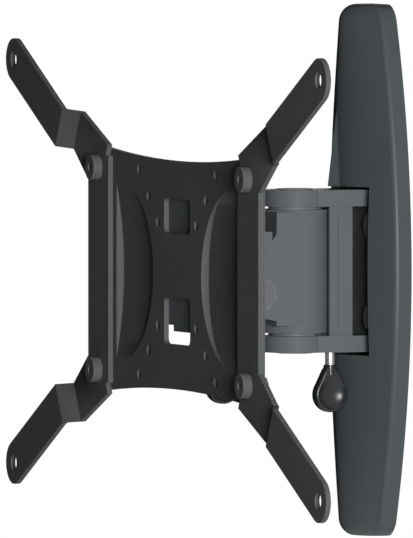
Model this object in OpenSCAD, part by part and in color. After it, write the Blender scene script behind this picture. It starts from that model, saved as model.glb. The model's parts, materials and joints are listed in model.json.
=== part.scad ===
// Swivelling and tilting wall mount for a flat television.
// The wall is the plane Y = 0, the television is on the -Y side, and +Z is up.
// The origin is the middle of the wall plate's back face.

/* [Wall plate] */
// Thickness of the steel wall plate
wall_plate_t = 3; // [2.5:0.5:4]
// Gap between the edge of the wall plate and the inside of the cover
plate_inset = 3; // [2:0.5:6]
// Spacing across of the four wall screw holes
wall_holes_x = 36; // [28:1:40]
// Spacing up of the four wall screw holes
wall_holes_z = 150; // [130:5:160]
// Spacing up of the two stud screw holes on the centre line
stud_holes_z = 200; // [180:5:210]
// Radius of the wall screw holes
wall_hole_r = 4.2; // [3.5:0.1:5]

/* [Cover] */
// Height of the cover
cover_h = 259; // [250:1:290]
// Width of the cover at mid height
cover_w = 80; // [76:1:96]
// How far each long side draws in at the ends
cover_taper = 21.8; // [16:0.1:23]
// Depth of the cover at its middle
cover_depth = 24.1; // [22:0.1:26]
// How much shallower the cover is at its ends
cover_fall = 3.2; // [2:0.1:5]
// Depth of the cover's flat side wall
cover_side = 9.7; // [8.5:0.1:12]
// Thickness of the cover's plastic wall
cover_wall = 2.2; // [1.8:0.1:2.6]
// Radius of the ridge between the side wall and the front
ridge_r = 3.5; // [2.5:0.1:5]
// Radius of the cover's end corners
end_r = 8; // [6:0.5:10]
// Width of the window that the bracket comes through
window_w = 49; // [49:1:58]
// Clearance between the bracket's arms and the top and bottom of that window
window_gap = 1.5; // [0.6:0.1:3]

/* [Wall bracket] */
// Height of the bracket over its two arms
yoke_h = 79; // [74:1:84]
// Thickness of each arm
yoke_t = 8; // [6:0.5:9]
// Distance of the swivel axis from the wall
swivel_out = 45; // [43:0.5:55]
// Radius of the arms' round nose
nose_r = 16; // [14.5:0.5:17]
// Width of the arms behind the nose
neck_w = 29; // [26:1:29]
// Thickness of the bracket's foot on the wall plate
foot_t = 7; // [5:0.5:8]
// Width of the bracket's foot
foot_w = 48; // [44:1:50]
// Radius of the bolts that hold the foot
foot_bolt_r = 3; // [2.5:0.1:3.5]

/* [Stop channel] */
// Width of the channel between the arms
channel_w = 26; // [25:0.5:28]
// Thickness of the channel's steel
channel_t = 2.5; // [2:0.1:2.6]
// Depth of the channel's sides
channel_d = 12; // [10:0.5:12]

/* [Swivel barrel] */
// Radius of the barrel
barrel_r = 16; // [14.5:0.5:16]
// Radius of the swivel pin
pin_r = 5; // [4:0.5:6]
// Radial clearance of every running fit
run_gap = 0.05; // [0.03:0.01:0.08]
// Gap between flat faces that slide on each other
face_gap = 0.05; // [0.03:0.01:0.1]
// Thickness of the flange of each swivel bush
bush_flange_t = 1.4; // [1:0.1:2]
// Wall of each swivel bush
bush_wall = 2; // [1.5:0.1:2.5]
// Length of each swivel bush inside the barrel
bush_l = 14; // [10:1:18]

/* [Tilt head] */
// Distance of the tilt axis in front of the swivel axis
axle_out = 28; // [27:0.5:34]
// Distance of the tilt axis below the middle
axle_drop = 10; // [8:0.5:12]
// Radius of the tilt lug on the barrel
lug_r = 11; // [10:0.5:12]
// Radius of the tilt bolt
axle_r = 4; // [3:0.5:5]
// Radius of the tilt bolt's round head
axle_head_r = 8; // [7:0.5:9]
// Distance of the television plate's back from the tilt axis
plate_out = 31.2; // [29:0.2:36]
// Width of the tilt bracket
tilt_w = 44; // [42:1:46]
// Height of the tilt bracket
tilt_h = 52; // [48:1:56]
// Thickness of the tilt bracket's steel
tilt_t = 3; // [2.5:0.5:3.5]
// Thickness of each nylon friction washer
friction_t = 0.8; // [0.5:0.1:1.2]

/* [Television plate] */
// Width of the plate
plate_w = 216; // [212:1:220]
// Height of the plate at its sides
plate_h = 122; // [118:1:130]
// Thickness of the plate's steel
plate_t = 2.5; // [2:0.1:3]
// How far the top and bottom edges curve in
plate_dip = 5.5; // [3:0.5:8]
// Height of the plate's middle against the wall plate's middle
plate_z = -1.4; // [-2:0.1:0]
// Radius of the small television screw holes
tv_hole_r = 2.5; // [2:0.1:2.8]
// Depth of the dished hollows at their deepest
dish_depth = 3.9; // [3:0.1:4.5]
// Height of the dished hollows
dish_h = 85; // [76:1:88]
// How near the dished hollows come to the middle
dish_near = 31.5; // [30:0.5:36]
// How far out the dished hollows reach
dish_far = 80; // [76:0.5:81]

/* [Wings] */
// Spacing across of the television holes in the wings' tips
tip_holes_x = 400; // [390:5:410]
// Spacing up of the television holes in the wings' tips
tip_holes_z = 200; // [196:1:204]
// Radius of the holes in the tips
tip_hole_r = 4; // [3:0.1:4.5]
// Thickness of the wings' steel
wing_t = 2.5; // [2:0.1:3]
// Width of each arm of a wing
wing_arm_w = 21; // [19:0.5:23]
// How far the tips stand in front of the rails
joggle = 5.1; // [4:0.1:6]
// Width of the rail between a wing's two arms
rail_w = 27; // [25:0.5:27]
// Spacing across of the bolts that hold the wings
boss_x = 196.6; // [194:0.2:198]
// Spacing up of the bolts that hold the wings
boss_z = 99.2; // [96:0.2:100]
// Radius of those bolts' round heads
boss_r = 6.2; // [5.5:0.1:6.5]
// Height of those bolts' round heads
boss_h = 4.7; // [3.5:0.1:5]

/* [Thumb screws] */
// Radius of the thumb screws' threaded shank
screw_r = 2.4; // [2:0.1:2.6]
// Distance of the swivel lock to the side of the middle
lock_side = 11; // [10.5:0.1:11.2]
// Distance of the swivel lock behind the swivel axis
lock_back = 14; // [13:0.5:14]
// Radius of the round grip
grip_r = 8; // [7:0.5:8]
// Thickness of the grip
grip_t = 6; // [5:0.5:7]
// Length of the grip's neck
neck_l = 15; // [13:0.5:17]

/* [Hidden] */
$fn = 64;
eps = 0.01;

// Cover and wall plate
ridge_sweep = 62;             // angle that the ridge's fillet turns through
crown_power = 1.6;            // shape of the crowned front: 1 is a tent, 2 is a parabola
span_rings = 14;              // rings along the curved sides
end_rings = 4;                // rings round each end corner
inner_half = cover_h / 2 - cover_wall;
snap_ears = [-85, -30, 30, 85]; // heights of the ears that hold the cover's sides
ear_h = 9;
snap_gap = 0.15;              // clearance of each ear inside the cover

// Bracket and swivel
swivel_y = -swivel_out;
arm_in = yoke_h / 2 - yoke_t; // inner face of each arm, from the middle
foot_bolt_x = foot_w / 2 - 7;
foot_bolt_z = yoke_h / 2 - 17;
foot_front = -wall_plate_t - foot_t;
channel_front = swivel_y + sqrt(pow(barrel_r + 0.7, 2) - pow(channel_w / 2 - channel_t, 2));
channel_back = channel_front + channel_d;
barrel_top = arm_in - face_gap - bush_flange_t;
lock_y = swivel_y + lock_back;
nut_recess = 4;               // depth of the pin nut's pocket in the lower arm
cap_proud = 0.6;              // how far the pin's head and nut stand proud of the arms
pin_cap_r = 1.8 * pin_r;
pad_t = bush_flange_t + face_gap - 0.3;
grip_top = -yoke_h / 2 - 6;
channel_screw_z = [19.5, -12.6];
channel_screw_r = 1.1;

// Tilt
axle_y = swivel_y - axle_out;
axle_z = -axle_drop;
plate_back = axle_y - plate_out;
plate_front = plate_back - plate_t;
tilt_in = tilt_w / 2 - tilt_t;
lug_half = tilt_in - friction_t - face_gap;
tilt_edge = axle_y + 7.4;     // edge of the tilt bracket's sides nearest the wall
tab_z = -tilt_h / 2 - tilt_t; // underside of the tab that the tilt lock screws into
tilt_lock_y = axle_y - 10;
tilt_grip_top = tab_z - 12;
tilt_lock_tip = axle_z - sqrt(pow(lug_r + 0.5, 2) - pow(axle_y - tilt_lock_y - screw_r, 2));

// Television plate and wings
tv_patterns = [100, 75, 50];
window_half = 17;
windows = [[20.3, 37.1], [-33.7, -11.1]];
tilt_top = plate_z + 38.6;    // the tilt bracket's front plate reaches up behind the upper window
rivets = [for (x = [-13, 13], z = [4, 14.5]) [x, z]];
rivet_r = 2.5;
wing_front = plate_front - wing_t;
tip_front = wing_front - joggle;
rail_x = boss_x / 2;
dish_back_t = plate_t - 0.3;
arm_angle = 27.5;             // rise of each wing arm towards its tip
bend_out = 69.5;              // from the tip hole to the outer bend
bend_in = 80.5;               // from the tip hole to the inner bend

// ---- shared shapes ----

// A cylinder along -Y, from the plane y inwards
module bar_y(r, y, length) translate([0, y, 0]) rotate([90, 0, 0]) cylinder(r = r, h = length);

// A cylinder along X, centred
module bar_x(r, length) rotate([0, 90, 0]) cylinder(r = r, h = length, center = true);

// A flat drawn in X and Z, made solid from the plane y back towards the wall
module sheet(y, t) translate([0, y + t, 0]) rotate([90, 0, 0]) linear_extrude(t) children();

module four(x, z) for (i = [-1, 1], k = [-1, 1]) translate([i * x / 2, 0, k * z / 2]) children();

module rounded(w, h, r) {
    square([w - 2 * r, h], center = true);
    square([w, h - 2 * r], center = true);
    for (i = [-1, 1], k = [-1, 1]) translate([i * (w / 2 - r), k * (h / 2 - r)]) circle(r);
}

// ---- cover and wall plate ----

// How far the rounded end corner has drawn in at height z
function end_round(z, half) =
    abs(z) <= half - end_r ? 0 : end_r - sqrt(max(0, pow(end_r, 2) - pow(abs(z) - half + end_r, 2)));

function cover_half(z) = cover_w / 2 - cover_taper * pow(2 * z / cover_h, 2);

function cover_crest(z) = cover_depth - cover_fall * pow(2 * z / cover_h, 2);

// One half of the cover's section, from the wall to the crest
function half_section(w, crest, side) = let (
    lip_x = w - ridge_r + ridge_r * cos(ridge_sweep),
    lip_y = side - ridge_r + ridge_r * sin(ridge_sweep)) concat(
    [[w, 0], [w, side - ridge_r]],
    [for (a = [1:3]) [w - ridge_r + ridge_r * cos(a * ridge_sweep / 3),
                      side - ridge_r + ridge_r * sin(a * ridge_sweep / 3)]],
    [for (i = [6:-1:1]) let (u = i / 7) [lip_x * u, lip_y + (crest - lip_y) * (1 - pow(u, crown_power))]]);

// The whole section at height z, shrunk by inset, with its back edge at y = back
function section(z, inset, half, back) = let (
    gone = end_round(z, half),
    crest = cover_crest(z) - inset - gone,
    part = half_section(cover_half(z) - inset - gone, crest, min(cover_side - inset, crest - 1))) concat(
    [for (p = part) [p[0], p[1] == 0 ? back : -p[1], z]], [[0, -crest, z]],
    [for (i = [len(part) - 1:-1:0]) [-part[i][0], part[i][1] == 0 ? back : -part[i][1], z]]);

// Heights of the rings: even steps along the sides, then round each end corner
function ring_heights(half) = let (flat = half - end_r) concat(
    [for (a = [end_rings:-1:1]) -flat - end_r * sin(90 * a / end_rings)],
    [for (i = [0:span_rings]) flat * (2 * i / span_rings - 1)],
    [for (a = [1:end_rings]) flat + end_r * sin(90 * a / end_rings)]);

module cover_body(inset, back) {
    half = cover_h / 2 - inset;
    rings = [for (z = ring_heights(half)) section(z, inset, half, back)];
    n = len(rings[0]);
    m = len(rings);
    polyhedron([for (ring = rings) for (p = ring) p], concat(
        [[for (j = [n - 1:-1:0]) j]], [[for (j = [0:n - 1]) (m - 1) * n + j]],
        [for (i = [0:m - 2], j = [0:n - 1]) [i * n + j, i * n + (j + 1) % n, (i + 1) * n + (j + 1) % n]],
        [for (i = [0:m - 2], j = [0:n - 1]) [i * n + j, (i + 1) * n + (j + 1) % n, (i + 1) * n + j]]));
}

// Tapered fairing above the window
module fairing() {
    low = yoke_h / 2 + window_gap;
    high = low + 38;
    wide = 7;
    proud = 4;
    sunk = 3;
    crest_low = cover_crest(low);
    crest_high = cover_crest(high);
    polyhedron([[wide, -crest_low + sunk, low], [0, -crest_low - proud, low],
        [-wide, -crest_low + sunk, low], [wide / 2, -crest_high + sunk, high],
        [0, -crest_high + 0.2, high], [-wide / 2, -crest_high + sunk, high]],
        [[2, 1, 0], [3, 4, 5], [0, 1, 4], [0, 4, 3], [1, 2, 5], [1, 5, 4], [2, 0, 3], [2, 3, 5]]);
}

module cover() color([0.24, 0.25, 0.27]) difference() {
    union() {
        cover_body(0, 0);
        fairing();
    }
    cover_body(cover_wall, 1);
    cube([window_w, 3 * cover_depth, yoke_h + 2 * window_gap], center = true);
}

module wall_plate() color([0.16, 0.16, 0.17]) {
    half = inner_half - plate_inset - end_r / 2;
    edge = [for (i = [-8:8]) let (z = half * i / 8) [cover_half(z) - cover_wall - plate_inset, z]];
    difference() {
        sheet(-wall_plate_t, wall_plate_t) {
            polygon(concat(edge, [for (i = [16:-1:0]) [-edge[i][0], edge[i][1]]]));
            for (z = snap_ears) polygon([for (p = [[-1, -1], [1, -1], [1, 1], [-1, 1]])
                let (at = z + p[1] * ear_h / 2) [p[0] * (cover_half(at) - cover_wall - snap_gap), at]]);
        }
        four(wall_holes_x, wall_holes_z) bar_y(wall_hole_r, 1, wall_plate_t + 2);
        for (k = [-1, 1]) translate([0, 0, k * stud_holes_z / 2]) bar_y(wall_hole_r, 1, wall_plate_t + 2);
        four(2 * foot_bolt_x, 2 * foot_bolt_z) bar_y(foot_bolt_r, 1, wall_plate_t + 2);
    }
}

// ---- bracket ----

module yoke_arm() linear_extrude(yoke_t) {
    translate([0, swivel_y]) circle(nose_r);
    translate([-neck_w / 2, swivel_y]) square([neck_w, swivel_out - wall_plate_t]);
}

module wall_bracket() color([0.42, 0.43, 0.45]) difference() {
    union() {
        for (z = [arm_in, -arm_in - yoke_t]) translate([0, 0, z]) yoke_arm();
        sheet(foot_front, foot_t) rounded(foot_w, yoke_h, 4);
    }
    translate([0, swivel_y, 0]) cylinder(r = pin_r, h = 2 * yoke_h, center = true);
    translate([0, swivel_y, -yoke_h / 2 - 1]) cylinder(r = pin_cap_r, h = nut_recess + 1);
    translate([lock_side, lock_y, -yoke_h]) cylinder(r = screw_r + run_gap, h = yoke_h);
    four(2 * foot_bolt_x, 2 * foot_bolt_z) bar_y(foot_bolt_r, 1, swivel_out / 2);
}

module foot_bolts() color([0.3, 0.3, 0.32]) four(2 * foot_bolt_x, 2 * foot_bolt_z) {
    bar_y(foot_bolt_r, 0, wall_plate_t + foot_t);
    translate([0, foot_front, 0]) rotate([90, 0, 0]) cylinder(r = 2 * foot_bolt_r, h = 4, $fn = 6);
}

module stop_channel() color([0.42, 0.43, 0.45]) difference() {
    translate([0, 0, -arm_in]) linear_extrude(2 * arm_in) difference() {
        translate([-channel_w / 2, channel_front]) square([channel_w, channel_d]);
        translate([-channel_w / 2 + channel_t, channel_front - 1])
            square([channel_w - 2 * channel_t, channel_d - channel_t + 1]);
    }
    for (i = [-1, 1]) {
        translate([i * channel_w / 2, channel_front + 4.2, 0]) cube([1, 0.8, 2 * arm_in - 8], center = true);
        for (z = channel_screw_z)
            translate([0, channel_front + 2.2, z]) bar_x(channel_screw_r, channel_w + 2);
    }
}

module channel_screws() color([0.12, 0.12, 0.13])
    for (i = [-1, 1], z = channel_screw_z)
        translate([i * (channel_w / 2 - channel_t / 2 + 0.1), channel_front + 2.2, z])
            bar_x(channel_screw_r, channel_t + 0.2);

// ---- swivel ----

module swivel_pin() color([0.35, 0.36, 0.38]) translate([0, swivel_y, 0]) {
    translate([0, 0, -yoke_h / 2]) cylinder(r = pin_r, h = yoke_h);
    translate([0, 0, yoke_h / 2]) cylinder(r = pin_cap_r, h = cap_proud);
}

// Round nut let into the lower arm
module pin_nut() color([0.35, 0.36, 0.38]) translate([0, swivel_y, -yoke_h / 2 - cap_proud]) difference() {
    cylinder(r = pin_cap_r, h = nut_recess + cap_proud);
    translate([0, 0, cap_proud]) cylinder(r = pin_r, h = 20);
}

// Thin shoe on the lower arm that the swivel lock lifts against the barrel's rim
module brake_pad() color([0.1, 0.1, 0.1]) translate([0, swivel_y, -arm_in]) difference() {
    intersection() {
        cylinder(r = barrel_r, h = pad_t);
        rotate(atan2(lock_back, lock_side)) translate([0, -6, 0]) cube([barrel_r, 12, pad_t]);
    }
    translate([0, 0, -1]) cylinder(r = barrel_r - 2.7, h = pad_t + 2);
}

module swivel_barrel() color([0.45, 0.46, 0.48]) difference() {
    union() {
        translate([0, swivel_y, 0]) cylinder(r = barrel_r, h = 2 * barrel_top, center = true);
        translate([-barrel_r, swivel_y - barrel_r, -barrel_top + 4])
            cube([2 * barrel_r, barrel_r, 2 * barrel_top - 5]);
        rotate([90, 0, 90]) translate([0, 0, -barrel_r]) linear_extrude(2 * barrel_r)
            polygon([[swivel_y - barrel_r + 1, 20], [swivel_y - barrel_r + 1, -barrel_top + 6],
                [axle_y, axle_z - lug_r], [axle_y, axle_z + lug_r]]);
        translate([0, axle_y, axle_z]) bar_x(lug_r, 2 * lug_half);
    }
    translate([0, swivel_y, 0]) {
        cylinder(r = pin_r + run_gap + 0.5, h = 2 * yoke_h, center = true);
        for (k = [-1, 1]) translate([0, 0, k * (barrel_top - bush_l / 2 + 0.5)])
            cylinder(r = pin_r + run_gap + bush_wall, h = bush_l + 1, center = true);
    }
    translate([0, axle_y, axle_z]) bar_x(axle_r + run_gap, tilt_w);
}

module bush() translate([0, swivel_y, 0]) difference() {
    union() {
        translate([0, 0, barrel_top - bush_l]) cylinder(r = pin_r + run_gap + bush_wall, h = bush_l);
        translate([0, 0, barrel_top]) cylinder(r = barrel_r - 3, h = bush_flange_t);
    }
    cylinder(r = pin_r + run_gap, h = yoke_h);
}

module upper_bush() color([0.8, 0.8, 0.77]) bush();

module lower_bush() color([0.8, 0.8, 0.77]) mirror([0, 0, 1]) bush();

// ---- tilt head ----

module tilt_bracket() color([0.42, 0.43, 0.45]) difference() {
    union() {
        for (i = [-1, 1]) translate([i * (tilt_w - tilt_t) / 2, 0, 0])
            rotate([90, 0, 90]) linear_extrude(tilt_t, center = true) {
                translate([plate_back, -tilt_h / 2]) square([tilt_edge - lug_r - plate_back, tilt_h]);
                translate([axle_y, axle_z]) circle(lug_r);
                translate([plate_back, axle_z]) square([tilt_edge - plate_back, tilt_h / 2 - axle_z - 6]);
            }
        translate([-tilt_w / 2, plate_back, -tilt_h / 2]) cube([tilt_w, tilt_t, tilt_h / 2 + tilt_top]);
        translate([-tilt_w / 4, plate_back, tab_z]) cube([tilt_w / 2, tilt_lock_y + 6 - plate_back, tilt_t]);
    }
    translate([0, axle_y, axle_z]) bar_x(axle_r, 2 * tilt_w);
    translate([0, tilt_lock_y, tab_z]) cylinder(r = screw_r + run_gap, h = 3 * tilt_t, center = true);
    for (p = rivets) translate([p[0], 0, plate_z + p[1]]) bar_y(rivet_r, plate_back + 20, 40);
}

module tilt_bolt() color([0.4, 0.41, 0.43]) translate([0, axle_y, axle_z]) {
    translate([-2, 0, 0]) bar_x(axle_r, tilt_w + 12);
    translate([tilt_w / 2 + 2, 0, 0]) bar_x(axle_head_r, 4);
}

module tilt_nut() color([0.3, 0.3, 0.32]) translate([-tilt_w / 2 - 2.5, axle_y, axle_z]) difference() {
    rotate([0, 90, 0]) cylinder(r = 1.8 * axle_r, h = 5, center = true, $fn = 6);
    bar_x(axle_r, 20);
}

module tilt_washers() color([0.8, 0.8, 0.77])
    for (i = [-1, 1]) translate([i * (tilt_in - friction_t / 2), axle_y, axle_z]) difference() {
        bar_x(lug_r - 1, friction_t);
        bar_x(axle_r, 3);
    }

// ---- television plate ----

module dish(grow, deep) {
    past = 1; // the outline runs past where the floor meets the front, so the two never touch along an edge
    r = (pow(dish_h / 2 + past, 2) + pow(dish_far - dish_near, 2)) / (2 * (dish_far - dish_near)) + grow;
    floor_r = (pow(dish_h / 2, 2) + pow(dish_depth, 2)) / (2 * dish_depth);
    intersection() {
        sheet(plate_front - eps, 2 * dish_depth + 2 * deep) intersection() {
            translate([-dish_near - r + grow, 0]) circle(r);
            translate([-dish_far - grow, -dish_h / 2 - grow - past])
                square([dish_far, dish_h + 2 * grow + 2 * past]);
        }
        translate([0, plate_front + dish_depth - floor_r, 0])
            bar_x(floor_r + deep, 4 * dish_far, $fn = 360);
    }
}

module plate_outline() {
    dip_r = (pow(plate_w / 2, 2) + pow(plate_dip, 2)) / (2 * plate_dip);
    difference() {
        square([plate_w, plate_h], center = true);
        for (k = [-1, 1]) translate([0, k * (plate_h / 2 - plate_dip + dip_r)]) circle(dip_r, $fn = 720);
        for (s = tv_patterns, i = [-1, 1], k = [-1, 1]) translate([i * s / 2, k * s / 2]) circle(tv_hole_r);
        for (w = windows) translate([0, (w[0] + w[1]) / 2]) rounded(2 * window_half, w[1] - w[0], 3);
        for (p = rivets) translate(p) circle(rivet_r);
        for (i = [-1, 1], k = [-1, 1]) translate([i * boss_x / 2, k * boss_z / 2]) circle(2.5);
    }
}

module tv_plate() color([0.17, 0.17, 0.17]) translate([0, 0, plate_z]) {
    difference() {
        sheet(plate_front, plate_t) plate_outline();
        for (i = [0, 1]) mirror([i, 0, 0]) dish(0, 0);
    }
    for (i = [0, 1]) mirror([i, 0, 0]) difference() {
        dish(dish_back_t, dish_back_t);
        dish(0, 0);
        translate([-plate_w, plate_front - 5, -plate_h]) cube([2 * plate_w, 5 + plate_t - eps, 2 * plate_h]);
    }
}

module plate_rivets() color([0.17, 0.17, 0.17]) translate([0, 0, plate_z])
    for (p = rivets) translate([p[0], 0, p[1]]) {
        bar_y(rivet_r, plate_back + tilt_t, tilt_t + plate_t);
        bar_y(1.6 * rivet_r, plate_back + tilt_t + 1.2, 1.2);
    }

// ---- wings ----

// One arm drawn with its tip hole at the origin and its length along +X
module arm_outline() {
    half = wing_arm_w / 2;
    shift = 4.6;
    circle(half);
    polygon([[0, half], [bend_out, half], [bend_in, half + shift], [119.6, 18.2],
        [119.6, -9.5], [103, -9.5], [bend_in, shift - half], [bend_out, -half], [0, -half]]);
}

module at_tip() translate([-tip_holes_x / 2, tip_holes_z / 2]) rotate(-arm_angle) children();

module wing_outline() difference() {
    union() {
        for (k = [0, 1]) mirror([0, k]) intersection() {
            at_tip() arm_outline();
            translate([-tip_holes_x, 20]) square([tip_holes_x - rail_x + rail_w / 2, tip_holes_z]);
        }
        translate([-rail_x - rail_w / 2, -boss_z / 2 - 6]) square([rail_w, boss_z + 12]);
    }
    for (k = [-1, 1]) {
        translate([-tip_holes_x / 2, k * tip_holes_z / 2]) circle(tip_hole_r);
        translate([-rail_x, k * boss_z / 2]) circle(2.5);
    }
}

// The bent sheet that an arm is cut from: flat at the tip, sloped, then flat at the rail
module bent_sheet() translate([-tip_holes_x / 2, 0, tip_holes_z / 2]) rotate([0, arm_angle, 0])
    linear_extrude(2 * tip_holes_z, center = true) polygon([[-40, tip_front], [bend_out, tip_front],
        [bend_in, wing_front], [400, wing_front], [400, plate_front], [bend_in - 1, plate_front],
        [bend_out - 1, tip_front + wing_t], [-40, tip_front + wing_t]]);

module wing() translate([0, 0, plate_z]) for (k = [0, 1]) mirror([0, 0, k]) intersection() {
    sheet(tip_front - 1, joggle + wing_t + 2) wing_outline();
    bent_sheet();
    translate([-tip_holes_x, tip_front - 2, 0]) cube([2 * tip_holes_x, 40, tip_holes_z]);
}

module left_wing() color([0.17, 0.17, 0.17]) wing();

module right_wing() color([0.17, 0.17, 0.17]) mirror([1, 0, 0]) wing();

module wing_bolts() color([0.3, 0.3, 0.3]) translate([0, 0, plate_z]) four(boss_x, boss_z) difference() {
    union() {
        bar_y(boss_r, wing_front, boss_h);
        bar_y(2.5, plate_back + 5, plate_t + wing_t + 5);
    }
    translate([0, wing_front - boss_h, 0]) rotate([90, 0, 0]) cylinder(r = 2, h = 4, center = true, $fn = 6);
}

module wing_nuts() color([0.3, 0.3, 0.32]) translate([0, 0, plate_z]) four(boss_x, boss_z) difference() {
    translate([0, plate_back, 0]) rotate([-90, 0, 0]) cylinder(r = 4.6, h = 4, $fn = 6);
    bar_y(2.5, plate_back + 10, 20);
}

// ---- thumb screws ----

// Round paddle under a tapered neck, with its top at the origin and a dished face each side
module grip() difference() {
    union() {
        rotate([90, 0, 90]) linear_extrude(grip_t, center = true) hull() {
            translate([0, -neck_l]) circle(grip_r);
            translate([0, -3]) circle(screw_r + 0.6);
        }
        translate([0, 0, -4]) cylinder(r = screw_r + 0.8, h = 4);
    }
    for (i = [-1, 1]) translate([i * (grip_t / 2 + 13), 0, -neck_l]) sphere(14.6);
    translate([0, 0, -7]) cylinder(r = screw_r, h = 8);
}

module swivel_lock_grip() color([0.2, 0.2, 0.21]) translate([lock_side, lock_y, grip_top]) grip();

module swivel_lock_screw() color([0.62, 0.63, 0.65])
    translate([lock_side, lock_y, grip_top - 7]) cylinder(r = screw_r, h = -arm_in - grip_top + 7);

module tilt_lock_grip() color([0.2, 0.2, 0.21]) translate([0, tilt_lock_y, tilt_grip_top]) grip();

module tilt_lock_screw() color([0.62, 0.63, 0.65])
    translate([0, tilt_lock_y, tilt_grip_top - 7])
        cylinder(r = screw_r, h = tilt_lock_tip - tilt_grip_top + 7);

wall_plate();
wall_bracket();
foot_bolts();
cover();
stop_channel();
channel_screws();
swivel_pin();
pin_nut();
brake_pad();
swivel_barrel();
upper_bush();
lower_bush();
tilt_bracket();
tilt_bolt();
tilt_nut();
tilt_washers();
tv_plate();
plate_rivets();
left_wing();
right_wing();
wing_bolts();
wing_nuts();
swivel_lock_screw();
swivel_lock_grip();
tilt_lock_screw();
tilt_lock_grip();
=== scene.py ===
# Tilting and swivelling television wall mount: softened steelwork, moulded cover, thumb screws
import json
import math
import bmesh
import bpy
import numpy as np
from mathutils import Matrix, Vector

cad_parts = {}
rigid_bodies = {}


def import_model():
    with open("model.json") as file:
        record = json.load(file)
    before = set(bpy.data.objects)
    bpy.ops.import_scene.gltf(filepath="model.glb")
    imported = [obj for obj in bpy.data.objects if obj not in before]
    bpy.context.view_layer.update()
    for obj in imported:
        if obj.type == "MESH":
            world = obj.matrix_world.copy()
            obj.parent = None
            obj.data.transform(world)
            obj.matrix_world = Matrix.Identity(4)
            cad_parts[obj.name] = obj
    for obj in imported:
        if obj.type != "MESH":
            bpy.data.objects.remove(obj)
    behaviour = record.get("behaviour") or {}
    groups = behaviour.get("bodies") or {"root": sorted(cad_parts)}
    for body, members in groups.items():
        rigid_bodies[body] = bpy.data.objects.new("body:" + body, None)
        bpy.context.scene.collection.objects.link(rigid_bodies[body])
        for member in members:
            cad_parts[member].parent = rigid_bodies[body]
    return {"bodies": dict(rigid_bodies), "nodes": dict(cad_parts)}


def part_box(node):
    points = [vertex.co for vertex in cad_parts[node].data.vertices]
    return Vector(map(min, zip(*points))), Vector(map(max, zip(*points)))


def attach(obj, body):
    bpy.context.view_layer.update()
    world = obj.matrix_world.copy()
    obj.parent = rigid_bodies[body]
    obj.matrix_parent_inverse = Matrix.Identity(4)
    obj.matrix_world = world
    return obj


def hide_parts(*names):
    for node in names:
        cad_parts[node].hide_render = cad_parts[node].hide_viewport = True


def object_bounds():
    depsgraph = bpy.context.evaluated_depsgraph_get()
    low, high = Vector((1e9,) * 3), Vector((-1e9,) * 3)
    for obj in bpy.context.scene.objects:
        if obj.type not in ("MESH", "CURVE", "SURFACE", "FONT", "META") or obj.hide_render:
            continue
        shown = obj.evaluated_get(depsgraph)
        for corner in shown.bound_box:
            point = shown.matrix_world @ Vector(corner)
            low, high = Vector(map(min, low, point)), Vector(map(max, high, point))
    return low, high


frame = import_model()
cadBox = [list(corner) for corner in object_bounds()]

scene = bpy.context.scene
scene.view_settings.view_transform = "Standard"

# camera, lamps, air, floor and drape; angles in degrees, lengths in metres, lamps in watts
studio = {
    "cameraAzimuth": 68.2, "cameraElevation": 2.2, "cameraDistance": 8.71,
    "lens": 1200, "sensor": 36, "farthest": 100, "aim": (0, -0.0913, 0.0015),
    "keyAzimuth": 79, "keyElevation": 3, "keyDistance": 2.6, "keySize": 0.7, "keyPower": 86,
    "fillAzimuth": 5, "fillElevation": 25, "fillDistance": 3.0, "fillSize": 1.6, "fillPower": 1,
    "backAzimuth": 235, "backElevation": 6, "backDistance": 3.0, "backSize": 1.2, "backPower": 36,
    "airLevel": 0.015, "floorDrop": 0.80, "floorSize": 2.2, "floorShade": 0.8, "floorGlow": 0.9,
    "drapeFrom": -150, "drapeTo": 42, "drapeDistance": 1.0, "drapeHalfHeight": 2.6,
    "drapeColumns": 25, "drapeShade": 0.01,
}


# A point at a distance from the aim, round by the azimuth and up by the elevation
def standAt(azimuth, elevation, distance):
    a = math.radians(azimuth)
    e = math.radians(elevation)
    away = Vector((math.sin(a) * math.cos(e), -math.cos(a) * math.cos(e), math.sin(e)))
    return Vector(studio["aim"]) + away * distance


def faceAim(obj):
    obj.rotation_euler = (Vector(studio["aim"]) - obj.location).to_track_quat("-Z", "Y").to_euler()


def makeCamera():
    data = bpy.data.cameras.new("frontCamera")
    data.lens = studio["lens"]
    data.sensor_width = studio["sensor"]
    data.clip_end = studio["farthest"]
    camera = bpy.data.objects.new("frontCamera", data)
    scene.collection.objects.link(camera)
    camera.location = standAt(studio["cameraAzimuth"], studio["cameraElevation"], studio["cameraDistance"])
    faceAim(camera)
    scene.camera = camera


def makeLamp(name):
    data = bpy.data.lights.new(name + "Lamp", "AREA")
    data.size = studio[name + "Size"]
    data.energy = studio[name + "Power"]
    lamp = bpy.data.objects.new(name + "Lamp", data)
    scene.collection.objects.link(lamp)
    lamp.location = standAt(studio[name + "Azimuth"], studio[name + "Elevation"], studio[name + "Distance"])
    faceAim(lamp)


# 1 for rays that come from the camera, or by a reflection or through glass
def seenDirectly(tree):
    path = tree.nodes.new("ShaderNodeLightPath")
    first = tree.nodes.new("ShaderNodeMath")
    first.operation = "MAXIMUM"
    second = tree.nodes.new("ShaderNodeMath")
    second.operation = "MAXIMUM"
    tree.links.new(path.outputs["Is Camera Ray"], first.inputs[0])
    tree.links.new(path.outputs["Is Glossy Ray"], first.inputs[1])
    tree.links.new(first.outputs[0], second.inputs[0])
    tree.links.new(path.outputs["Is Transmission Ray"], second.inputs[1])
    return second.outputs[0]


def grey(shade):
    return (shade, shade, shade, 1)


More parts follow.
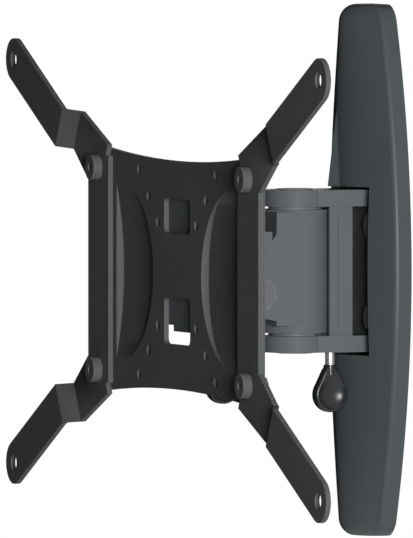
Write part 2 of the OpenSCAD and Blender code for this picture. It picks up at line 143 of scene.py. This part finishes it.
# The air lights the object dimly, and stands white behind it
def makeAir():
    world = bpy.data.worlds.new("studioAir")
    world.use_nodes = True
    scene.world = world
    tree = world.node_tree
    mix = tree.nodes.new("ShaderNodeMix")
    mix.data_type = "RGBA"
    mix.inputs["A"].default_value = grey(studio["airLevel"])
    mix.inputs["B"].default_value = grey(1)
    tree.links.new(seenDirectly(tree), mix.inputs["Factor"])
    tree.links.new(mix.outputs["Result"], tree.nodes["Background"].inputs["Color"])


# The floor is matt and pale, and glows for the camera until only the shadow shows on it
def makeFloor():
    half = studio["floorSize"] / 2
    level = cadBox[0][2] - studio["floorDrop"]
    mesh = bpy.data.meshes.new("paleFloor")
    corners = [(-half, -half, level), (half, -half, level), (half, half, level), (-half, half, level)]
    mesh.from_pydata(corners, [], [(0, 1, 2, 3)])
    material = bpy.data.materials.new("paleFloor")
    material.use_nodes = True
    tree = material.node_tree
    tree.nodes.clear()
    matt = tree.nodes.new("ShaderNodeBsdfDiffuse")
    matt.inputs["Color"].default_value = grey(studio["floorShade"])
    glow = tree.nodes.new("ShaderNodeEmission")
    strength = tree.nodes.new("ShaderNodeMath")
    strength.operation = "MULTIPLY"
    strength.inputs[1].default_value = studio["floorGlow"]
    both = tree.nodes.new("ShaderNodeAddShader")
    out = tree.nodes.new("ShaderNodeOutputMaterial")
    tree.links.new(seenDirectly(tree), strength.inputs[0])
    tree.links.new(strength.outputs[0], glow.inputs["Strength"])
    tree.links.new(matt.outputs[0], both.inputs[0])
    tree.links.new(glow.outputs[0], both.inputs[1])
    tree.links.new(both.outputs[0], out.inputs["Surface"])
    mesh.materials.append(material)
    floor = bpy.data.objects.new("paleFloor", mesh)
    scene.collection.objects.link(floor)


# Puts a grid of points into a mesh, each cell a face; keep says which cells have one
def gridMesh(name, points, keep=None, closeAcross=False):
    rows, columns = points.shape[:2]
    index = np.arange(rows * columns).reshape(rows, columns)
    right = np.roll(index, -1, axis=1) if closeAcross else index[:, 1:]
    left = index if closeAcross else index[:, :-1]
    quads = np.stack([left[:-1], right[:-1], right[1:], left[1:]], axis=-1)
    if keep is not None:
        quads = quads[keep]
    used, corners = np.unique(quads, return_inverse=True)
    mesh = bpy.data.meshes.new(name)
    mesh.from_pydata(points.reshape(-1, 3)[used].tolist(), [], corners.reshape(-1, 4).tolist())
    return mesh


# A dark drape stands round the front left and keeps black faces black. It is part of an upright
# drum, its columns at even angles and its two rows at the foot and the top, seen only in reflections.
def makeDrape():
    turn = np.radians(np.linspace(studio["drapeFrom"], studio["drapeTo"], studio["drapeColumns"]))[None, :]
    rise = np.array([[-1], [1]]) * studio["drapeHalfHeight"]
    x = studio["drapeDistance"] * np.sin(turn)
    y = -studio["drapeDistance"] * np.cos(turn)
    mesh = gridMesh("darkDrape", np.stack(np.broadcast_arrays(x, y, rise), axis=-1))
    material = bpy.data.materials.new("darkDrape")
    material.use_nodes = True
    cloth = material.node_tree.nodes["Principled BSDF"]
    cloth.inputs["Base Color"].default_value = grey(studio["drapeShade"])
    cloth.inputs["Roughness"].default_value = 1
    cloth.inputs["Specular IOR Level"].default_value = 0
    mesh.materials.append(material)
    drape = bpy.data.objects.new("darkDrape", mesh)
    scene.collection.objects.link(drape)
    drape.visible_camera = False
    drape.visible_diffuse = False
    drape.visible_shadow = False


makeCamera()
for lampName in ("key", "fill", "back"):
    makeLamp(lampName)
makeAir()
makeFloor()
makeDrape()
print("studio: camera, three lamps, air, floor and drape")


# shared effects; each is a node group placed in every finish with its own values
def newGroup(name, takes, gives):
    group = bpy.data.node_groups.new(name, "ShaderNodeTree")
    for label, value in takes:
        socket = group.interface.new_socket(label, in_out="INPUT", socket_type="NodeSocketFloat")
        socket.default_value = value
    for label in gives:
        group.interface.new_socket(label, in_out="OUTPUT", socket_type="NodeSocketFloat")
    start = group.nodes.new("NodeGroupInput")
    end = group.nodes.new("NodeGroupOutput")
    return group, start, end


def addNoise(group, place, detail, roughness):
    noise = group.nodes.new("ShaderNodeTexNoise")
    noise.inputs["Detail"].default_value = detail
    noise.inputs["Roughness"].default_value = roughness
    group.links.new(place, noise.inputs["Vector"])
    return noise


def addRange(group, value, low, high, toLow, toHigh):
    fit = group.nodes.new("ShaderNodeMapRange")
    fit.interpolation_type = "SMOOTHSTEP"
    fit.inputs["From Min"].default_value = low
    fit.inputs["From Max"].default_value = high
    fit.inputs["To Min"].default_value = toLow
    fit.inputs["To Max"].default_value = toHigh
    group.links.new(value, fit.inputs["Value"])
    return fit.outputs["Result"]


def addProduct(group, first, second):
    product = group.nodes.new("ShaderNodeMath")
    product.operation = "MULTIPLY"
    group.links.new(first, product.inputs[0])
    group.links.new(second, product.inputs[1])
    return product.outputs[0]


# Fine pebbled coat over slow cloudy drift
def makeCoatGrain():
    group, start, end = newGroup("coatGrain", [("Scale", 1500), ("Drift Scale", 30)], ["Height", "Drift"])
    place = group.nodes.new("ShaderNodeTexCoord").outputs["Object"]
    fine = addNoise(group, place, detail=3, roughness=0.6)
    slow = addNoise(group, place, detail=4, roughness=0.55)
    group.links.new(start.outputs["Scale"], fine.inputs["Scale"])
    group.links.new(start.outputs["Drift Scale"], slow.inputs["Scale"])
    group.links.new(fine.outputs["Fac"], end.inputs["Height"])
    drift = addRange(group, slow.outputs["Fac"], low=0.3, high=0.7, toLow=0, toHigh=1)
    group.links.new(drift, end.inputs["Drift"])
    return group


# Rubbed corners: the softened edges have a finish of their own, worn through in patches
def makeEdgeRub():
    group, start, end = newGroup("edgeRub", [("Amount", 0.5), ("Break Scale", 260)], ["Mask"])
    place = group.nodes.new("ShaderNodeTexCoord").outputs["Object"]
    broken = addNoise(group, place, detail=5, roughness=0.65)
    group.links.new(start.outputs["Break Scale"], broken.inputs["Scale"])
    patch = addRange(group, broken.outputs["Fac"], low=0.35, high=0.6, toLow=0.25, toHigh=1)
    group.links.new(addProduct(group, patch, start.outputs["Amount"]), end.inputs["Mask"])
    return group


# Settled dust: on what faces up, in soft patches
def makeRestingDust():
    group, start, end = newGroup("restingDust", [("Amount", 0.1), ("Patch Scale", 90)], ["Mask"])
    place = group.nodes.new("ShaderNodeTexCoord").outputs["Object"]
    split = group.nodes.new("ShaderNodeSeparateXYZ")
    group.links.new(group.nodes.new("ShaderNodeNewGeometry").outputs["Normal"], split.inputs[0])
    patch = addNoise(group, place, detail=4, roughness=0.6)
    group.links.new(start.outputs["Patch Scale"], patch.inputs["Scale"])
    up = addRange(group, split.outputs["Z"], low=0.55, high=0.98, toLow=0, toHigh=1)
    soft = addRange(group, patch.outputs["Fac"], low=0.35, high=0.7, toLow=0.3, toHigh=1)
    mask = addProduct(group, addProduct(group, up, soft), start.outputs["Amount"])
    group.links.new(mask, end.inputs["Mask"])
    return group


coatGrain = makeCoatGrain()
edgeRub = makeEdgeRub()
restingDust = makeRestingDust()

# every finish: its colour, where it drifts and where it is rubbed, its range of roughness, how many
# waves a metre its grain and drift have, the grain's depth in metres, and its wear and dust from 0 to 1
finishes = {
    "blackPowderCoat": {
        "slot": "black_steel", "body": (0.084, 0.088, 0.088), "drift": (0.090, 0.093, 0.094),
        "rub": (0.16, 0.16, 0.165), "metal": 0.0, "rough": (0.48, 0.54), "shine": 0.04,
        "grain": 1500, "driftScale": 26, "depth": 0.00004, "wear": 0.5, "dust": 0.05,
    },
    "greyCastPaint": {
        "slot": "grey_casting", "body": (0.092, 0.102, 0.108), "drift": (0.095, 0.105, 0.111),
        "rub": (0.2, 0.21, 0.22), "metal": 0.0, "rough": (0.49, 0.50), "shine": 0.06,
        "grain": 1100, "driftScale": 16, "depth": 0.00006, "wear": 0.55, "dust": 0.05,
    },
    "satinCoverPlastic": {
        "slot": "cover_plastic", "body": (0.054, 0.062, 0.066), "drift": (0.057, 0.065, 0.069),
        "rub": (0.09, 0.1, 0.105), "metal": 0.0, "rough": (0.34, 0.38), "shine": 0.13,
        "grain": 2000, "driftScale": 14, "depth": 0.00003, "wear": 0.35, "dust": 0.06,
    },
    "darkZincSteel": {
        "slot": "dark_steel", "body": (0.09, 0.095, 0.1), "drift": (0.1, 0.105, 0.11),
        "rub": (0.3, 0.3, 0.3), "metal": 0.0, "rough": (0.36, 0.5), "shine": 0.15,
        "grain": 1800, "driftScale": 90, "depth": 0.00003, "wear": 0.6, "dust": 0.04,
    },
    "brightTurnedSteel": {
        "slot": "bright_steel", "body": (0.36, 0.37, 0.38), "drift": (0.42, 0.43, 0.44),
        "rub": (0.55, 0.55, 0.55), "metal": 0.7, "rough": (0.22, 0.34), "shine": 0.5,
        "grain": 2600, "driftScale": 160, "depth": 0.00002, "wear": 0.3, "dust": 0.02,
    },
    "greyNylon": {
        "slot": "nylon", "body": (0.10, 0.105, 0.11), "drift": (0.12, 0.125, 0.13),
        "rub": (0.2, 0.2, 0.2), "metal": 0.0, "rough": (0.38, 0.5), "shine": 0.15,
        "grain": 1600, "driftScale": 60, "depth": 0.00002, "wear": 0.2, "dust": 0.05,
    },
    "brakeRubber": {
        "slot": "rubber_pad", "body": (0.03, 0.03, 0.031), "drift": (0.042, 0.042, 0.043),
        "rub": (0.07, 0.07, 0.07), "metal": 0.0, "rough": (0.7, 0.85), "shine": 0.2,
        "grain": 1400, "driftScale": 60, "depth": 0.00006, "wear": 0.4, "dust": 0.1,
    },
    "glossyGripPlastic": {
        "slot": "grip_plastic", "body": (0.014, 0.016, 0.018), "drift": (0.018, 0.020, 0.022),
        "rub": (0.1, 0.1, 0.105), "metal": 0.0, "rough": (0.24, 0.29), "shine": 0.22,
        "grain": 2200, "driftScale": 80, "depth": 0.00002, "wear": 0.3, "dust": 0.03,
    },
}


dustColour = (0.34, 0.33, 0.31)
grainStrength = 0.6


def blendColours(tree, factor, first, second):
    mix = tree.nodes.new("ShaderNodeMix")
    mix.data_type = "RGBA"
    tree.links.new(factor, mix.inputs["Factor"])
    for socket, colour in (("A", first), ("B", second)):
        if isinstance(colour, tuple):
            mix.inputs[socket].default_value = (*colour, 1)
        else:
            tree.links.new(colour, mix.inputs[socket])
    return mix.outputs["Result"]


def placeGroup(tree, group, values):
    node = tree.nodes.new("ShaderNodeGroup")
    node.node_tree = group
    for label, value in values.items():
        node.inputs[label].default_value = value
    return node


# Body colour drifts, corners rub lighter, dust greys what faces up; gloss follows the drift
def makeFinish(name, look, wear):
    material = bpy.data.materials.new(name)
    material.use_nodes = True
    tree = material.node_tree
    shader = tree.nodes["Principled BSDF"]
    shader.inputs["Metallic"].default_value = look["metal"]
    shader.inputs["Specular IOR Level"].default_value = look["shine"]
    grain = placeGroup(tree, coatGrain, {"Scale": look["grain"], "Drift Scale": look["driftScale"]})
    rub = placeGroup(tree, edgeRub, {"Amount": wear})
    dust = placeGroup(tree, restingDust, {"Amount": look["dust"]})
    colour = blendColours(tree, grain.outputs["Drift"], look["body"], look["drift"])
    colour = blendColours(tree, rub.outputs["Mask"], colour, look["rub"])
    colour = blendColours(tree, dust.outputs["Mask"], colour, dustColour)
    tree.links.new(colour, shader.inputs["Base Color"])
    smooth, rough = look["rough"]
    gloss = addRange(tree, grain.outputs["Drift"], low=0, high=1, toLow=smooth, toHigh=rough)
    tree.links.new(gloss, shader.inputs["Roughness"])
    bump = tree.nodes.new("ShaderNodeBump")
    bump.inputs["Strength"].default_value = grainStrength
    bump.inputs["Distance"].default_value = look["depth"]
    tree.links.new(grain.outputs["Height"], bump.inputs["Height"])
    tree.links.new(bump.outputs["Normal"], shader.inputs["Normal"])
    return material


materials = {name: makeFinish(name, look, 0) for name, look in finishes.items()}
edgeMaterials = {name: makeFinish(name + "Edge", look, look["wear"]) for name, look in finishes.items()}
print("finishes:", ", ".join(materials))


# which body each solid rides on
bodyOf = {}
for bodyName, empty in frame["bodies"].items():
    for nodeName, solid in frame["nodes"].items():
        if solid.parent is empty:
            bodyOf[nodeName] = bodyName


# Shows a mesh in place of its solid, on the solid's body; the second material is for worn edges
def linkPiece(name, mesh, finishName, node):
    mesh.materials.clear()
    mesh.materials.append(materials[finishName])
    mesh.materials.append(edgeMaterials[finishName])
    piece = bpy.data.objects.new(name, mesh)
    scene.collection.objects.link(piece)
    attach(piece, bodyOf[node])
    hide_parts(node)
    return piece


# Faces shade smoothly into each other, except where they meet at more than sharpAngle degrees
def smoothFaces(piece, sharpAngle):
    piece.data.shade_smooth()
    piece.data.set_sharp_from_angle(angle=math.radians(sharpAngle))


# Rounds every edge sharper than that, in the piece's second material
def softenEdges(piece, width, sharpAngle, segments):
    smoothFaces(piece, sharpAngle)
    bevel = piece.modifiers.new("softEdge", "BEVEL")
    bevel.width = width
    bevel.segments = segments
    bevel.limit_method = "ANGLE"
    bevel.angle_limit = math.radians(sharpAngle)
    bevel.use_clamp_overlap = True
    bevel.harden_normals = True
    bevel.material = 1


# steelwork: solid, piece name, finish, width of its softened edges in metres
steelwork = {
    "wall_plate": ("wallPlate", "blackPowderCoat", 0.0003),
    "wall_bracket": ("forkedBracket", "greyCastPaint", 0.0006),
    "foot_bolts": ("footBolts", "darkZincSteel", 0.0003),
    "stop_channel": ("stopChannel", "greyCastPaint", 0.0003),
    "channel_screws": ("channelScrews", "darkZincSteel", 0.0001),
    "swivel_pin": ("swivelPin", "darkZincSteel", 0.0003),
    "pin_nut": ("pinNut", "darkZincSteel", 0.0003),
    "brake_pad": ("brakePad", "brakeRubber", 0.0001),
    "swivel_barrel": ("swivelBarrel", "greyCastPaint", 0.0004),
    "upper_bush": ("upperBush", "greyNylon", 0.0001),
    "lower_bush": ("lowerBush", "greyNylon", 0.0001),
    "tilt_bracket": ("tiltBracket", "greyCastPaint", 0.0004),
    "tilt_bolt": ("tiltBolt", "darkZincSteel", 0.0005),
    "tilt_nut": ("tiltNut", "darkZincSteel", 0.0003),
    "tilt_washers": ("tiltWashers", "greyNylon", 0.0001),
    "tv_plate": ("drilledPlate", "blackPowderCoat", 0.0003),
    "plate_rivets": ("plateRivets", "blackPowderCoat", 0.0001),
    "left_wing": ("leftWing", "blackPowderCoat", 0.0003),
    "right_wing": ("rightWing", "blackPowderCoat", 0.0003),
    "wing_bolts": ("wingBolts", "blackPowderCoat", 0.0004),
    "wing_nuts": ("wingNuts", "darkZincSteel", 0.0003),
    "swivel_lock_screw": ("swivelLockScrew", "brightTurnedSteel", 0.0002),
    "tilt_lock_screw": ("tiltLockScrew", "brightTurnedSteel", 0.0002),
}


# how the steelwork's meshes are mended and softened; metres and degrees
softening = {"weld": 0.000002, "flatAngle": 0.4, "sharpAngle": 20, "segments": 2}


# A copy of the solid's mesh, welded, its flat faces joined, and its edges softened
def softenSolid(node, name, finishName, width):
    mesh = frame["nodes"][node].data.copy()
    mesh.name = name
    flat = math.radians(softening["flatAngle"])
    work = bmesh.new()
    work.from_mesh(mesh)
    bmesh.ops.remove_doubles(work, verts=work.verts, dist=softening["weld"])
    bmesh.ops.dissolve_limit(work, angle_limit=flat, verts=work.verts, edges=work.edges)
    work.to_mesh(mesh)
    work.free()
    piece = linkPiece(name, mesh, finishName, node)
    softenEdges(piece, width, softening["sharpAngle"], softening["segments"])


for nodeName, (pieceName, finishName, edgeWidth) in steelwork.items():
    softenSolid(nodeName, pieceName, finishName, edgeWidth)
print("steelwork:", len(steelwork), "pieces softened")


# how near two of a new surface's points may lie before they are one, in metres
surfaceWeld = {"points": 0.000001, "slivers": 0.0000001}


def readFaces(mesh, label, width):
    values = np.zeros(len(mesh.polygons) * width)
    mesh.polygons.foreach_get(label, values)
    return values.reshape(-1, width)


# Welds a grid's doubled points and turns its faces outwards. Each face's normal, times the way from
# the inner point to the face and times the face's area, adds up to more than zero when they do.
def weldOutwards(mesh, inner):
    work = bmesh.new()
    work.from_mesh(mesh)
    bmesh.ops.remove_doubles(work, verts=work.verts, dist=surfaceWeld["points"])
    bmesh.ops.dissolve_degenerate(work, edges=work.edges, dist=surfaceWeld["slivers"])
    bmesh.ops.recalc_face_normals(work, faces=work.faces)
    work.to_mesh(mesh)
    work.free()
    away = readFaces(mesh, "center", 3) - np.array(inner)
    if np.sum(readFaces(mesh, "normal", 3) * away * readFaces(mesh, "area", 1)) < 0:
        mesh.flip_normals()


# moulded cover: a crowned shell with a ridge down each side; metres and degrees
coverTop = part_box("cover")[1]
coverForm = {
    "halfHeight": round(coverTop.z, 4), "halfWidth": round(coverTop.x, 4), "taper": 0.0218,
    "crest": 0.0241, "crestFall": 0.0032, "crownPower": 1.6, "side": 0.0097, "crestOverSide": 0.001,
    "ridgeRadius": 0.0035, "ridgeSweep": 62, "cornerRadius": 0.008, "wall": 0.0022,
    "windowHalfWidth": 0.0245, "windowHalfHeight": 0.041, "windowSlack": 0.0002,
    "fairingTop": 0.079, "fairingHalfWidth": 0.007, "fairingNarrows": 0.5, "fairingProud": 0.004,
    "fairingSink": 0.003, "middleHalfWidth": 0.010, "rimWidth": 0.0005, "rimSegments": 3, "sharpAngle": 38,
}

# how many rows or columns each stretch of the cover has, its first and last included
coverGrid = {
    "windowRows": 15, "fairingRows": 39, "endRows": 15, "cornerRows": 9,
    "wallColumns": 6, "ridgeColumns": 9, "sideColumns": 9, "windowColumns": 13, "middleColumns": 21,
}


# Heights of the sections from the middle up: past the window, along the fairing, on to the end, and
# round the end corner, where they follow the sine of the angle turned
def coverHeights(form, grid):
    flat = form["halfHeight"] - form["cornerRadius"]
    return np.concatenate([
        np.linspace(0, form["windowHalfHeight"], grid["windowRows"]),
        np.linspace(form["windowHalfHeight"], form["fairingTop"], grid["fairingRows"])[1:],
        np.linspace(form["fairingTop"], flat, grid["endRows"])[1:],
        flat + form["cornerRadius"] * np.sin(np.linspace(0, np.pi / 2, grid["cornerRows"])[1:]),
    ])


# A straight strip's share of the crown's half width, which beyond the strip's end stays as it is there
def stripShare(halfWidth, endsAt, z, upper, lip):
    lipThere = np.interp(np.minimum(np.abs(z[:, 0]), endsAt), upper, lip)
    return (halfWidth / lipThere)[:, None]


# The crown's columns as shares of the way from the middle to the lip: first the side, then the
# window's strip, then the middle strip, where they stand closest
def crownShares(form, grid, z, upper, lip):
    window = stripShare(form["windowHalfWidth"], form["windowHalfHeight"], z, upper, lip)
    middle = stripShare(form["middleHalfWidth"], form["fairingTop"], z, upper, lip)
    side = 1 - (1 - window) * np.linspace(0, 1, grid["sideColumns"])[1:]
    strip = window - (window - middle) * np.linspace(0, 1, grid["windowColumns"])[1:]
    return np.concatenate([side, strip, middle * np.linspace(1, 0, grid["middleColumns"])[1:]], axis=1)


# The fairing is a peaked roof that stands highest at the window's upper edge. It narrows and sinks
# into the crown towards its own top, and its slopes run from the peak to below the crown.
def fairingRoof(form, z, crest, x):
    up = (z - form["windowHalfHeight"]) / (form["fairingTop"] - form["windowHalfHeight"])
    part = np.clip(up, 0, 1)
    halfWidth = form["fairingHalfWidth"] * (1 - form["fairingNarrows"] * part)
    proud = form["fairingProud"] * (1 - part)
    roof = crest + proud - x * (proud + form["fairingSink"]) / halfWidth
    return np.where(up == part, roof, 0)


# Each row is a section: up the side wall, round the ridge, over the crown to the middle and down
# again. Width and crest fall with the square of the height, and both draw in round the end corners.
def coverSections(form, grid):
    upper = coverHeights(form, grid)
    z = np.concatenate([-upper[:0:-1], upper])[:, None]
    half = form["halfHeight"]
    corner = form["cornerRadius"]
    radius = form["ridgeRadius"]
    past = np.clip(np.abs(z) - (half - corner), 0, corner)
    drawn = corner - np.sqrt(corner ** 2 - past ** 2)
    width = form["halfWidth"] - form["taper"] * (z / half) ** 2 - drawn
    crest = form["crest"] - form["crestFall"] * (z / half) ** 2 - drawn
    side = np.minimum(form["side"], crest - form["crestOverSide"])
    climb = np.linspace(0, 1, grid["wallColumns"])
    turn = np.radians(np.linspace(0, form["ridgeSweep"], grid["ridgeColumns"])[1:])
    ridgeX = width - radius + radius * np.cos(turn)
    ridgeY = side - radius + radius * np.sin(turn)
    lipX = ridgeX[:, -1:]
    lipY = ridgeY[:, -1:]
    share = crownShares(form, grid, z, upper, lipX[len(upper) - 1:, 0])
    crownX = lipX * share
    crownY = lipY + (crest - lipY) * (1 - share ** form["crownPower"])
    crownY = np.maximum(crownY, fairingRoof(form, z, crest, crownX))
    halfX = np.concatenate([width + 0 * climb, ridgeX, crownX], axis=1)
    halfY = np.concatenate([(side - radius) * climb, ridgeY, crownY], axis=1)
    x = np.concatenate([halfX, -halfX[:, -2::-1]], axis=1)
    y = -np.concatenate([halfY, halfY[:, -2::-1]], axis=1)
    return np.stack([x, y, z + 0 * x], axis=-1)


# Each end closes with rows that sink from the last section to the wall, one for each point up the
# side wall, which they meet
def closeEnds(points, grid):
    sink = np.linspace(1, 0, grid["wallColumns"])[1:, None, None]
    scale = np.concatenate([np.ones_like(sink), sink, np.ones_like(sink)], axis=-1)
    return np.concatenate([(points[0] * scale)[::-1], points, points[-1] * scale])


# Cells that have a face: none in the window, and none in the end rows' side wall columns, which run
# down the end's own edge
def coverCells(form, grid, points):
    middles = np.abs(points[:-1, :-1] + points[1:, 1:]) / 2
    inWidth = middles[..., 0] < form["windowHalfWidth"] - form["windowSlack"]
    inHeight = middles[..., 2] < form["windowHalfHeight"] - form["windowSlack"]
    row = np.arange(middles.shape[0])[:, None]
    column = np.arange(middles.shape[1])[None, :]
    endRow = np.minimum(row, row[::-1]) < grid["wallColumns"] - 1
    wallColumn = np.minimum(column, column[:, ::-1]) < grid["wallColumns"] - 1
    return ~(inWidth & inHeight) & ~(endRow & wallColumn)


def makeCover():
    points = closeEnds(coverSections(coverForm, coverGrid), coverGrid)
    mesh = gridMesh("mouldedCover", points, coverCells(coverForm, coverGrid, points))
    weldOutwards(mesh, (0, 0, 0))
    piece = linkPiece("mouldedCover", mesh, "satinCoverPlastic", "cover")
    shell = piece.modifiers.new("shell", "SOLIDIFY")
    shell.thickness = coverForm["wall"]
    shell.offset = -1
    softenEdges(piece, coverForm["rimWidth"], coverForm["sharpAngle"], coverForm["rimSegments"])


makeCover()
print("cover: shell with its window and fairing")

# thumb grips: a round paddle under a neck, with a dished face each side; metres and degrees
gripForm = {
    "paddle": 0.0086, "neck": 0.0042, "reach": 0.0100, "drop": 0.0146, "halfThick": 0.0030,
    "dishDepth": 0.0022, "dishWidth": 0.84, "dishPower": 0.7, "rimRound": 0.0014,
    "collar": 0.0032, "collarHeight": 0.0040, "collarSunk": 0.001, "collarRim": 0.0004,
    "circles": 41, "outlinePoints": 72, "rimRows": 13, "faceRows": 11, "collarPoints": 48, "sharpAngle": 42,
}


def roundAngles(count):
    return np.linspace(0, 2 * np.pi, count + 1)[:-1][None, :]


# The outline goes round every circle between the paddle and the neck. In each direction from the
# paddle's middle it reaches as far as the farthest of them.
def gripOutline(form, angle):
    along = np.linspace(0, 1, form["circles"])[:, None]
    centre = form["reach"] * along
    radius = form["paddle"] + (form["neck"] - form["paddle"]) * along
    aside = centre * np.sin(angle)
    ahead = centre * np.cos(angle) + np.sqrt(np.maximum(radius ** 2 - aside ** 2, 0))
    return np.where(radius >= np.abs(aside), ahead, 0).max(axis=0)[None, :]


# A closed profile runs from the middle of one face, out over its raised rim, round the edge and back
# to the middle of the other face. The dish falls with the distance from the paddle's middle.
def gripSurface(form, top):
    angle = roundAngles(form["outlinePoints"])
    outline = gripOutline(form, angle)
    turn = np.linspace(0, np.pi, form["rimRows"])
    rim = form["rimRound"]
    flat = 1 - rim / form["paddle"]
    face = flat * np.linspace(0, 1, form["faceRows"] + 1)[:-1]
    spread = np.concatenate([face, flat + (1 - flat) * np.sin(turn), face[::-1]])[:, None]
    fromMiddle = face[:, None] * outline / (form["dishWidth"] * form["paddle"])
    dish = np.clip(1 - fromMiddle ** 2, 0, 1) ** form["dishPower"]
    bowl = form["halfThick"] - form["dishDepth"] * dish
    quarter = turn[:form["rimRows"] // 2]  # up to the edge's middle row, where x is 0
    edge = (form["halfThick"] - rim * (1 - np.cos(quarter)))[:, None] + 0 * outline
    x = np.concatenate([bowl, edge, 0 * outline, -edge[::-1], -bowl[::-1]])
    y = spread * outline * np.sin(angle)
    z = spread * outline * np.cos(angle)
    return np.stack([x, y, z], axis=-1) + top - [0, 0, form["drop"]]


# The collar is a short turned sleeve that the screw stands in: a stepped profile carried round
def collarSurface(form, top):
    angle = roundAngles(form["collarPoints"])
    low = -form["collarHeight"] - form["collarSunk"]
    outer = form["collar"]
    rim = form["collarRim"]
    profile = np.array([[0, low], [outer, low], [outer, -rim], [outer - rim, 0], [0, 0]])
    r = profile[:, :1]
    h = profile[:, 1:] + 0 * angle
    return np.stack([r * np.cos(angle), r * np.sin(angle), h], axis=-1) + top


# The grip hangs from the middle of its solid's top, taken to the nearest tenth of a millimetre
def makeGrip(name, node):
    low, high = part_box(node)
    top = np.round([(low.x + high.x) / 2, (low.y + high.y) / 2, high.z], 4)
    paddle = gridMesh(name, gripSurface(gripForm, top), closeAcross=True)
    weldOutwards(paddle, top - [0, 0, gripForm["drop"]])
    collar = gridMesh(name + "Collar", collarSurface(gripForm, top), closeAcross=True)
    weldOutwards(collar, top - [0, 0, gripForm["collarHeight"] / 2])
    both = bmesh.new()
    both.from_mesh(paddle)
    both.from_mesh(collar)
    both.to_mesh(paddle)
    both.free()
    piece = linkPiece(name, paddle, "glossyGripPlastic", node)
    smoothFaces(piece, gripForm["sharpAngle"])


makeGrip("swivelLockGrip", "swivel_lock_grip")
makeGrip("tiltLockGrip", "tilt_lock_grip")
print("grips: two dished paddles")
